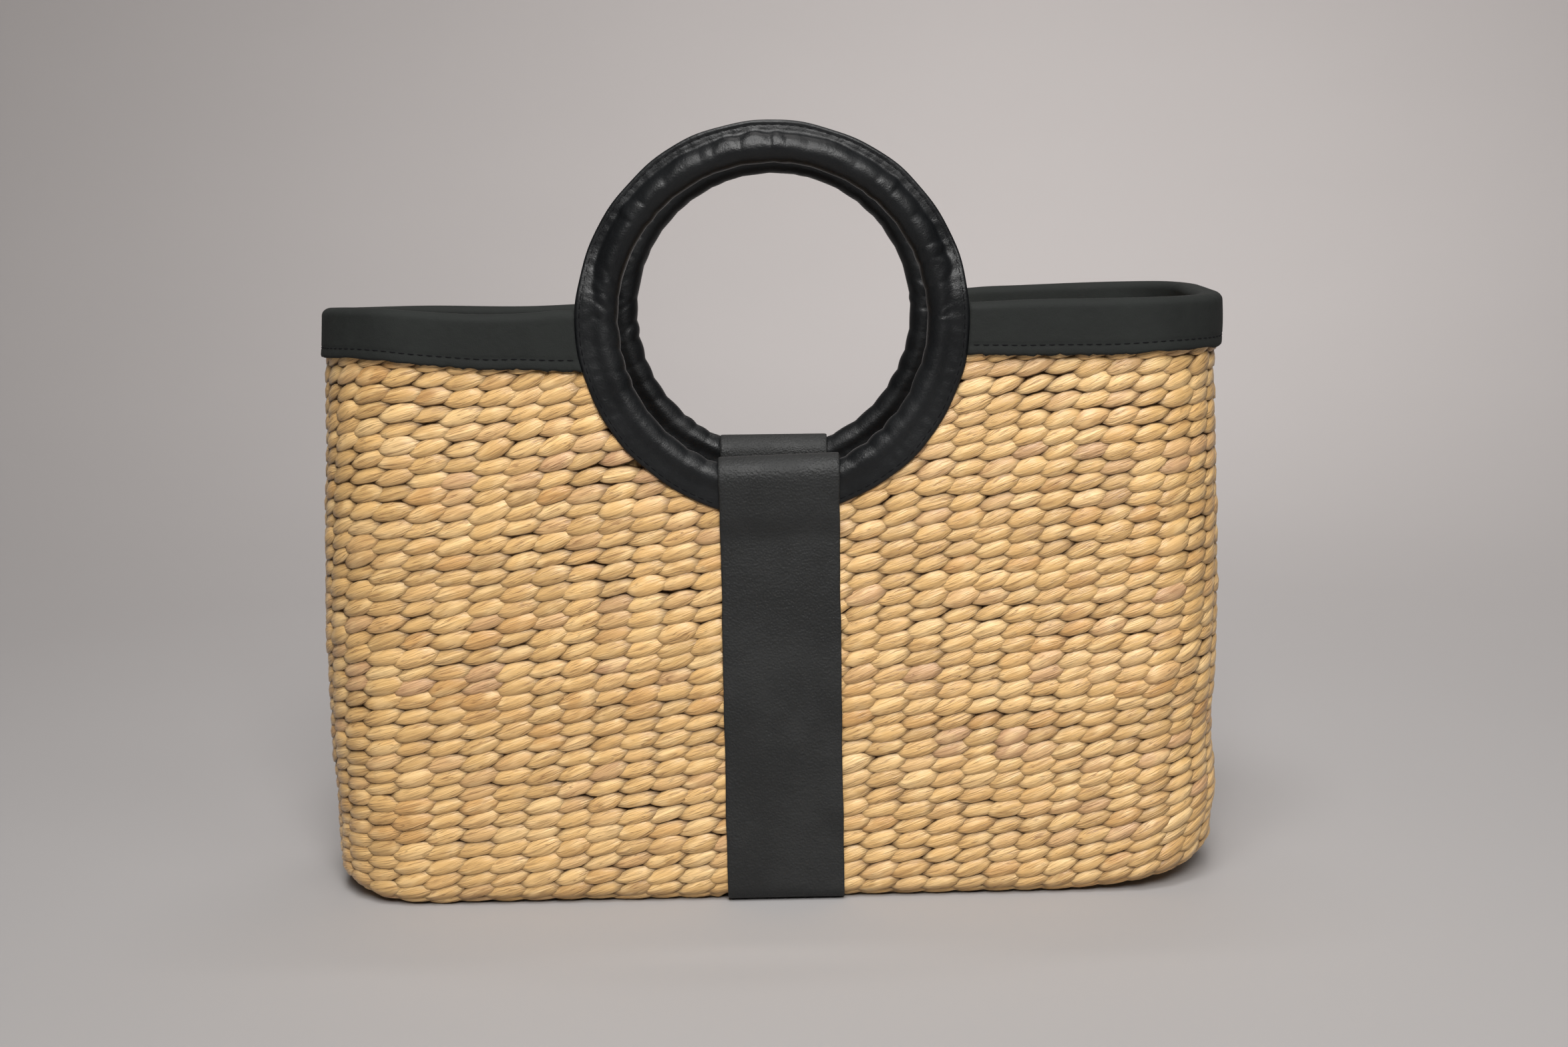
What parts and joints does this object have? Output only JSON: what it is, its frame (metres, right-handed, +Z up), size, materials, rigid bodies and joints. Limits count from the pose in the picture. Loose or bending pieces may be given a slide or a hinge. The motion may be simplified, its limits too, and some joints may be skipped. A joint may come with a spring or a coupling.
{
  "type": "water hyacinth tote bag",
  "caption": "Open twined basket bag with a rounded-rectangle plan, leather-bound rim, ring handles set into the front and back walls, and a leather strap under the base",
  "frame": {"origin": "middle of the underside, on the surface that the bag stands on", "axes": "+X to the right seen from the front, +Y from the front wall to the back wall, +Z up"},
  "size_m": [0.4036, 0.1324, 0.3427],
  "materials": {
    "straw_weave": "dried plant stems, satin",
    "hoop_rattan": "peeled cane, bare",
    "sleeve_leather": "smooth, satin, puckered",
    "binding_leather": "smooth, matte",
    "strap_leather": "fine grain, matte"
  },
  "bodies": {
    "root": {"basket_body": "straw_weave", "hoop_front": "hoop_rattan", "hoop_back": "hoop_rattan", "hoop_cover_front": "sleeve_leather", "hoop_cover_back": "sleeve_leather", "rim_binding_left": "binding_leather", "rim_binding_right": "binding_leather", "centre_strap": "strap_leather"}
  },
  "joints": []
}
